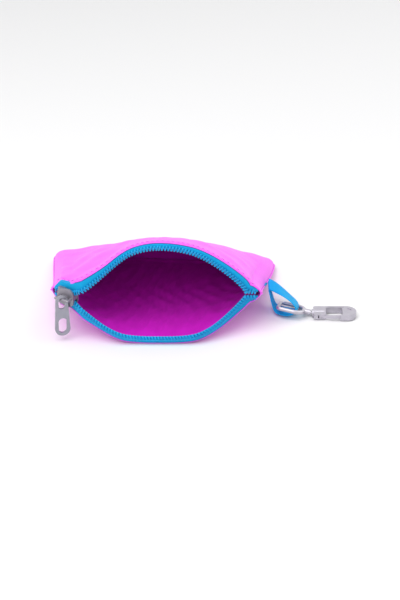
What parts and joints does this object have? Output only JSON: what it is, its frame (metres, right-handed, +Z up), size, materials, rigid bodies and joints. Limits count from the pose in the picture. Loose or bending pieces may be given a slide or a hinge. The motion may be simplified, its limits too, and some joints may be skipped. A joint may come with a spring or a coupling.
{
  "type": "zip coin pouch",
  "caption": "Flat fabric zip pouch lying on its back panel with the mouth held open, a slider with a puller, and a ribbon loop with a swivel snap hook.",
  "frame": {"origin": "on the underside, in the middle of the patch of the back panel that the pouch rests on", "axes": "+Z up, +X along the pouch's width towards the snap hook, -Y out of the open mouth"},
  "size_m": [0.1563, 0.0934, 0.0484],
  "materials": {
    "nylon": "matt ripstop nylon, bright pink",
    "lining": "thin coated lining, dark magenta",
    "nylon_thread": "twisted thread, pink",
    "blue_thread": "twisted thread, blue",
    "zip_tape": "woven tape, blue",
    "zip_coil": "nylon coil, satin",
    "slider_metal": "satin gunmetal",
    "pull_metal": "satin grey",
    "ribbon": "ribbed grosgrain, blue",
    "hook_metal": "die-cast, satin nickel",
    "pin_metal": "drawn wire"
  },
  "bodies": {
    "pouch": {"back_panel": "nylon", "back_lining": "lining", "left_seam": "nylon", "right_seam": "nylon", "bottom_seam": "nylon", "seam_stitching": "nylon_thread", "bar_tack": "blue_thread", "back_tape": "zip_tape", "back_coil": "zip_coil", "back_coil_stitching": "blue_thread", "back_topstitch": "nylon_thread"},
    "mouth": {"front_panel": "nylon", "front_lining": "lining", "front_tape": "zip_tape", "front_coil": "zip_coil", "front_coil_stitching": "blue_thread", "front_topstitch": "nylon_thread"},
    "slider": {"slider_body": "slider_metal", "slider_bail": "slider_metal"},
    "pull": {"slider_pull": "pull_metal"},
    "strap": {"strap_loop": "ribbon"},
    "eye": {"swivel_eye": "hook_metal"},
    "hook": {"hook_body": "hook_metal", "gate_pin": "pin_metal", "gate_spring": "pin_metal"},
    "gate": {"hook_gate": "hook_metal"}
  },
  "joints": [
    {"name": "mouth_flex", "type": "hinge", "parent": "pouch", "child": "mouth", "pos_m": [0, 0.042, 0.0024], "axis": [1, 0, 0], "range_deg": [0, 24], "deforming": ["front_panel", "front_lining", "front_tape", "front_coil", "front_coil_stitching", "front_topstitch"]},
    {"name": "slider_slide", "type": "slide", "parent": "pouch", "child": "slider", "axis": [0.8448, -0.5351, 0], "range_m": [-0.0004, 0.0006]},
    {"name": "pull_swing", "type": "hinge", "parent": "slider", "child": "pull", "pos_m": [-0.04775, -0.04129, 0.023], "axis": [-0.8448, 0.5351, 0], "range_deg": [0, 160]},
    {"name": "strap_fold", "type": "hinge", "parent": "pouch", "child": "strap", "pos_m": [0.05378, -0.00423, 0.01091], "axis": [0, -1, 0], "range_deg": [-10, 60]},
    {"name": "eye_swing", "type": "hinge", "parent": "strap", "child": "eye", "pos_m": [0.05888, -0.01322, 0.00439], "axis": [-0.1755, -0.9434, 0.2813], "range_deg": [-30, 40]},
    {"name": "hook_swivel", "type": "hinge", "parent": "eye", "child": "hook", "pos_m": [0.07548, -0.01703, 0.002], "axis": [1, 0, 0], "continuous": true},
    {"name": "gate_open", "type": "hinge", "parent": "hook", "child": "gate", "pos_m": [0.07918, -0.01963, 0.002], "axis": [0, 0, 1], "range_deg": [0, 30], "stiffness_Nm_per_rad": 0.004, "springref_deg": -17.19, "deforming": ["gate_spring"]}
  ]
}
